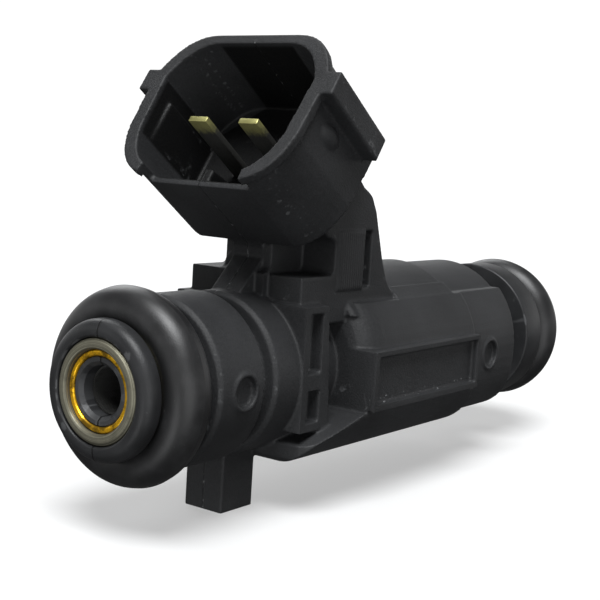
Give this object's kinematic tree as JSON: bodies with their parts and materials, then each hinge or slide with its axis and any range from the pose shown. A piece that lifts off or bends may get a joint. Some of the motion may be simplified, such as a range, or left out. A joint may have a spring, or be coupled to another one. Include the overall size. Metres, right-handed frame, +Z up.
{
  "type": "fuel injector",
  "caption": "Port fuel injector: moulded black housing with a tilted blade socket, an O-ring at each end, and a sprung ball valve inside.",
  "frame": {"origin": "on the injector's own axis, at the middle of the inlet O-ring", "axes": "+X along the injector's axis, from the fuel inlet to the nozzle; +Z up, on the side of the electrical socket; +Y across"},
  "size_m": [0.0648, 0.0188, 0.037],
  "materials": {
    "housing_nylon": "fine-grained moulded black, matt, with a faint flow pattern",
    "ring_nylon": "smooth black, matt",
    "seal_rubber": "smooth black, soft sheen",
    "bare_steel": "turned, dull grey",
    "spring_steel": "drawn wire",
    "collar_brass": "bright amber",
    "filter_nylon": "smooth black",
    "filter_gauze": "fine woven gauze",
    "bobbin_plastic": "brown, semi-matt",
    "winding_copper": "enamelled copper wire",
    "blade_plating": "tinned, golden at the tips"
  },
  "bodies": {
    "injector_body": {"overmold_body": "housing_nylon", "seal_retaining_ring": "housing_nylon", "outlet_support_collar": "ring_nylon", "nozzle_cap": "ring_nylon", "inlet_o_ring": "seal_rubber", "outlet_o_ring": "seal_rubber", "inlet_tube": "bare_steel", "filter_collar": "collar_brass", "filter_frame": "filter_nylon", "filter_mesh": "filter_gauze", "adjusting_sleeve": "bare_steel", "magnet_yoke": "bare_steel", "yoke_cover_washer": "bare_steel", "coil_bobbin": "bobbin_plastic", "coil_winding": "winding_copper", "nonmagnetic_sleeve": "bare_steel", "terminal_left": "blade_plating", "terminal_right": "blade_plating", "valve_body": "bare_steel", "ball_guide": "bare_steel", "valve_seat": "bare_steel", "orifice_plate": "bare_steel", "plate_retaining_ring": "bare_steel", "return_spring": "spring_steel"},
    "needle": {"armature": "bare_steel", "needle_tube": "bare_steel", "valve_ball": "bare_steel"}
  },
  "joints": [
    {"name": "needle_lift", "type": "slide", "parent": "injector_body", "child": "needle", "axis": [-1, 0, 0], "range_m": [0, 0.00008], "stiffness_N_per_m": 1500, "springref_m": -0.002, "deforming": ["return_spring"]}
  ]
}
